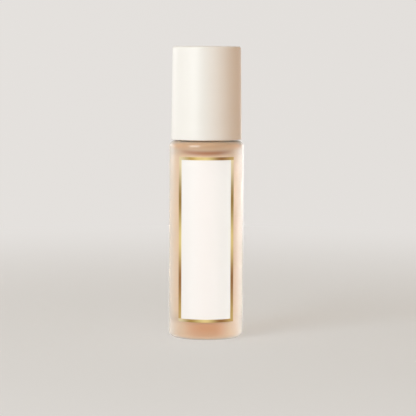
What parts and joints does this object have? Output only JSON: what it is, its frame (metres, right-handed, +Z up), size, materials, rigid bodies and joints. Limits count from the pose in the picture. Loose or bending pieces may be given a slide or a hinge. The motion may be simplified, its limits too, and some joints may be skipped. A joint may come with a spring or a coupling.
{
  "type": "roll-on perfume bottle",
  "caption": "Slim frosted glass roll-on bottle: steel ball in a pressed-in housing, white screw cap with liner and seal, and a wrapped front label with a gold foil border.",
  "frame": {"origin": "centre of the base, on the plane that the foot ring stands on", "axes": "+Z up along the bottle's axis, -Y out of the middle of the label, +X to the label's right"},
  "size_m": [0.02, 0.0202, 0.0783],
  "materials": {
    "frosted_glass": "satin",
    "perfume": "gloss",
    "housing_plastic": "satin",
    "ball_steel": "polished",
    "seal_plastic": "satin",
    "liner_plastic": "satin",
    "cap_plastic": "satin",
    "label_paper": "matte",
    "gold_foil": "polished"
  },
  "bodies": {
    "bottle": {"glass_bottle": "frosted_glass", "perfume_fill": "perfume", "roller_housing": "housing_plastic", "front_label": "label_paper", "label_foil": "gold_foil"},
    "ball": {"roller_ball": "ball_steel"},
    "seal": {"cap_seal": "seal_plastic"},
    "cap": {"cap_liner": "liner_plastic", "cap_shell": "cap_plastic"}
  },
  "joints": [
    {"name": "ball_roll", "type": "hinge", "parent": "bottle", "child": "ball", "pos_m": [0, 0, 0.0665], "axis": [1, 0, 0], "continuous": true},
    {"name": "cap_lift", "type": "slide", "parent": "bottle", "child": "seal", "axis": [0, 0, 1], "range_m": [0, 0.024]},
    {"name": "cap_turn", "type": "hinge", "parent": "seal", "child": "cap", "pos_m": [0, 0, 0.0533], "axis": [0, 0, 1], "range_deg": [0, 2880]}
  ],
  "couplings": [
    {"joint": "cap_lift", "follows": "cap_turn", "m_per_rad": 0.00047746}
  ]
}
